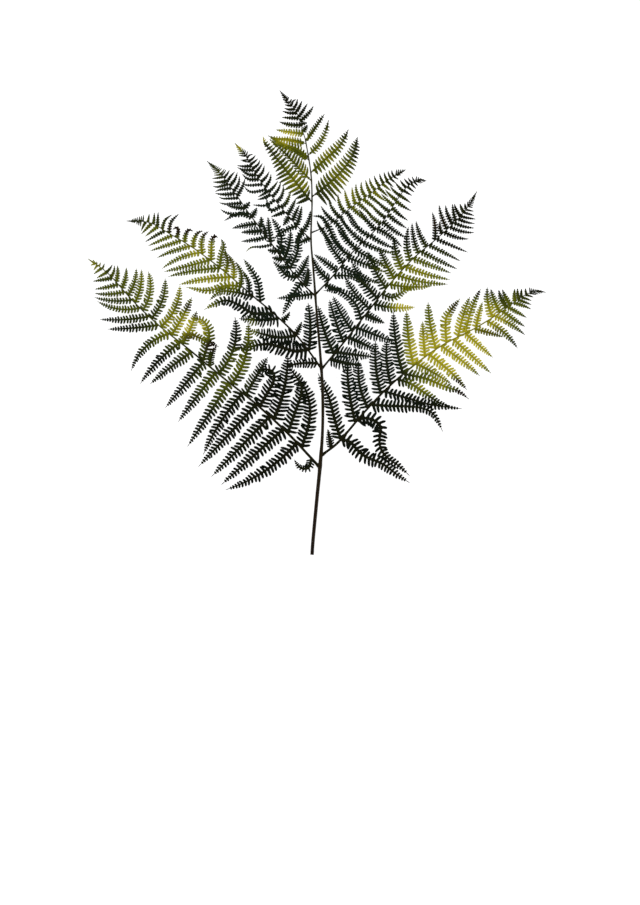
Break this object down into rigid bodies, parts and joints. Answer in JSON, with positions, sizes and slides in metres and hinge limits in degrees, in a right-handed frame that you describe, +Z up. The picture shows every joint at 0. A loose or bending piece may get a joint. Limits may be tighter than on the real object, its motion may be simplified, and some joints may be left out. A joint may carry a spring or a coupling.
{
  "type": "bracken frond",
  "caption": "Cut bracken frond lying flat: a dark stalk with opposite, finely divided pinnae in green and yellowing leaf, used as a natural ground-cover or scene element.",
  "frame": {"origin": "on the surface under the middle of the lying frond's bounding box", "axes": "+Y from the stalk's cut foot to the frond's tip, +Z up from the upper leaf face, +X to the frond's right"},
  "size_m": [0.46, 0.4656, 0.024],
  "materials": {
    "stalk": "smooth, faintly glossy plant stalk",
    "dark_leaf": "satin leaf tissue",
    "yellowing_leaf": "satin leaf tissue turning yellow"
  },
  "bodies": {
    "root": {"stalk": "stalk", "left_pinna_1": "dark_leaf", "left_pinna_2": "dark_leaf", "left_pinna_3": "dark_leaf", "left_pinna_4": "dark_leaf", "left_pinna_5": "dark_leaf", "left_pinna_6": "yellowing_leaf", "left_pinna_7": "yellowing_leaf", "right_pinna_1": "yellowing_leaf", "right_pinna_2": "dark_leaf", "right_pinna_3": "dark_leaf", "right_pinna_4": "dark_leaf", "right_pinna_5": "dark_leaf", "right_pinna_6": "dark_leaf", "right_pinna_7": "dark_leaf", "right_pinna_8": "dark_leaf", "frond_tip": "dark_leaf"}
  },
  "joints": []
}
